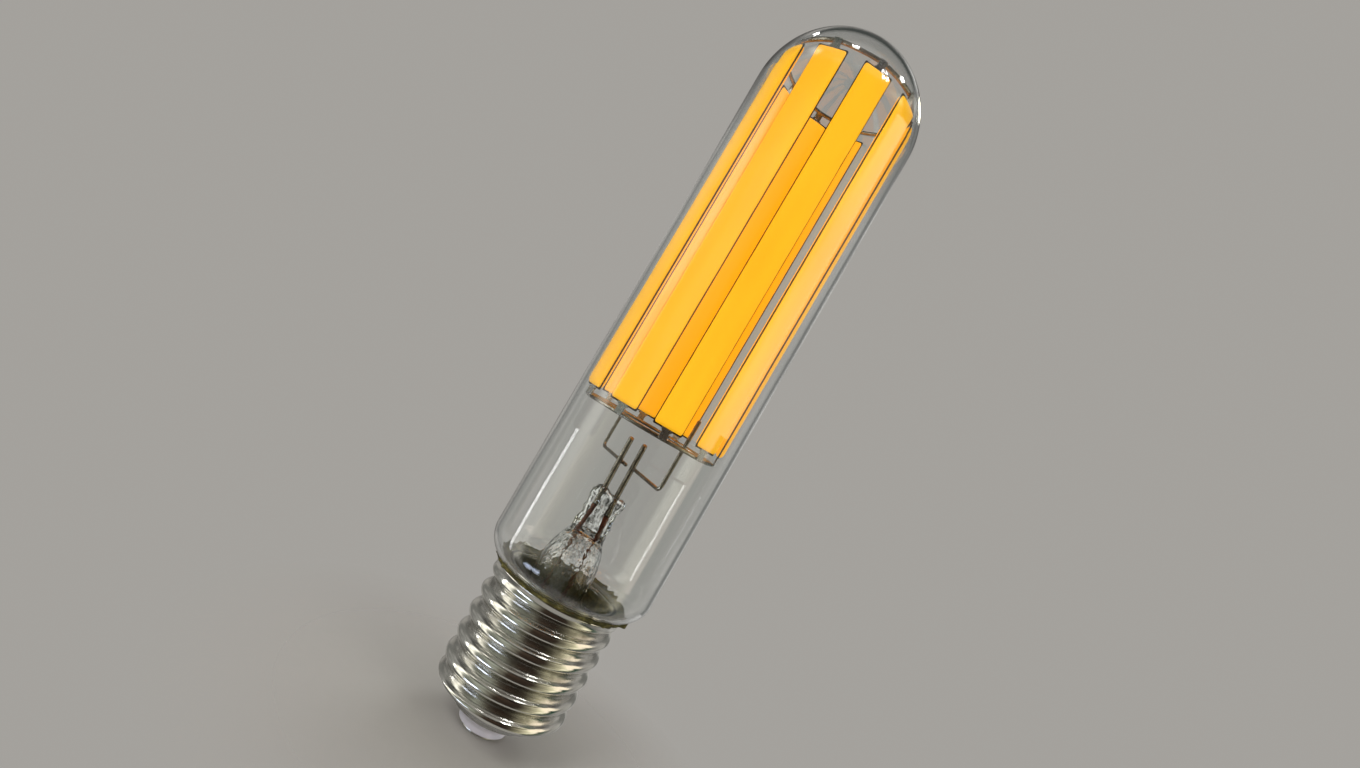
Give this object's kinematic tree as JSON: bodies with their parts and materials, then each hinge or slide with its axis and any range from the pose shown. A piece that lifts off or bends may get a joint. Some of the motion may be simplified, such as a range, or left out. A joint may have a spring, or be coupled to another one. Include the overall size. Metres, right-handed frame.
{
  "type": "led light bulb",
  "caption": "Clear tubular LED filament lamp: a ring of upright yellow filaments inside a glass tube on a large screw cap.",
  "frame": {"origin": "centre of the end contact's outer face", "axes": "+Z along the lamp from the end contact to the dome, -Y the side that faces the viewer"},
  "size_m": [0.0496, 0.0496, 0.2236],
  "materials": {
    "clear_glass": "polished clear",
    "nickel_shell": "bright nickel plate",
    "white_insulator": "glossy white",
    "contact_metal": "plain nickel",
    "olive_cement": "baked, dull",
    "yellow_phosphor": "silicone with phosphor",
    "filament_substrate": "sawn edge",
    "tab_strip": "rolled strip",
    "nickel_wire": "drawn wire",
    "copper_seal": "borated copper clad",
    "copper_wire": "tinned copper",
    "chip_blue": "clear die",
    "board_green": "solder mask",
    "black_package": "moulded",
    "capacitor_can": "drawn can",
    "ferrite": "ground ferrite",
    "resistor_body": "lacquered",
    "sleeve_white": "woven sleeve"
  },
  "bodies": {
    "root": {"glass_envelope": "clear_glass", "cap_shell": "nickel_shell", "cap_insulator": "white_insulator", "end_contact": "contact_metal", "cap_cement": "olive_cement", "stem_glass": "clear_glass", "exhaust_tube": "clear_glass", "lower_ring_front": "nickel_wire", "lower_ring_back": "nickel_wire", "upper_ring": "nickel_wire", "feed_wire_front": "nickel_wire", "feed_wire_back": "nickel_wire", "led_chips": "chip_blue", "driver_board": "board_green", "smoothing_capacitor": "capacitor_can", "inductor_core": "ferrite", "inductor_winding": "copper_wire", "bridge_rectifier": "black_package", "driver_chip": "black_package", "fuse_resistor": "resistor_body", "insulating_sleeve": "sleeve_white", "contact_wire": "copper_wire", "shell_wire": "copper_wire", "lead_wire_left": "nickel_wire", "seal_wire_left": "copper_seal", "outer_lead_left": "copper_wire", "lead_wire_right": "nickel_wire", "seal_wire_right": "copper_seal", "outer_lead_right": "copper_wire", "filament_01_substrate": "filament_substrate", "filament_01_phosphor": "yellow_phosphor", "filament_01_tabs": "tab_strip", "filament_02_substrate": "filament_substrate", "filament_02_phosphor": "yellow_phosphor", "filament_02_tabs": "tab_strip", "filament_03_substrate": "filament_substrate", "filament_03_phosphor": "yellow_phosphor", "filament_03_tabs": "tab_strip", "filament_04_substrate": "filament_substrate", "filament_04_phosphor": "yellow_phosphor", "filament_04_tabs": "tab_strip", "filament_05_substrate": "filament_substrate", "filament_05_phosphor": "yellow_phosphor", "filament_05_tabs": "tab_strip", "filament_06_substrate": "filament_substrate", "filament_06_phosphor": "yellow_phosphor", "filament_06_tabs": "tab_strip", "filament_07_substrate": "filament_substrate", "filament_07_phosphor": "yellow_phosphor", "filament_07_tabs": "tab_strip", "filament_08_substrate": "filament_substrate", "filament_08_phosphor": "yellow_phosphor", "filament_08_tabs": "tab_strip", "filament_09_substrate": "filament_substrate", "filament_09_phosphor": "yellow_phosphor", "filament_09_tabs": "tab_strip", "filament_10_substrate": "filament_substrate", "filament_10_phosphor": "yellow_phosphor", "filament_10_tabs": "tab_strip"}
  },
  "joints": []
}
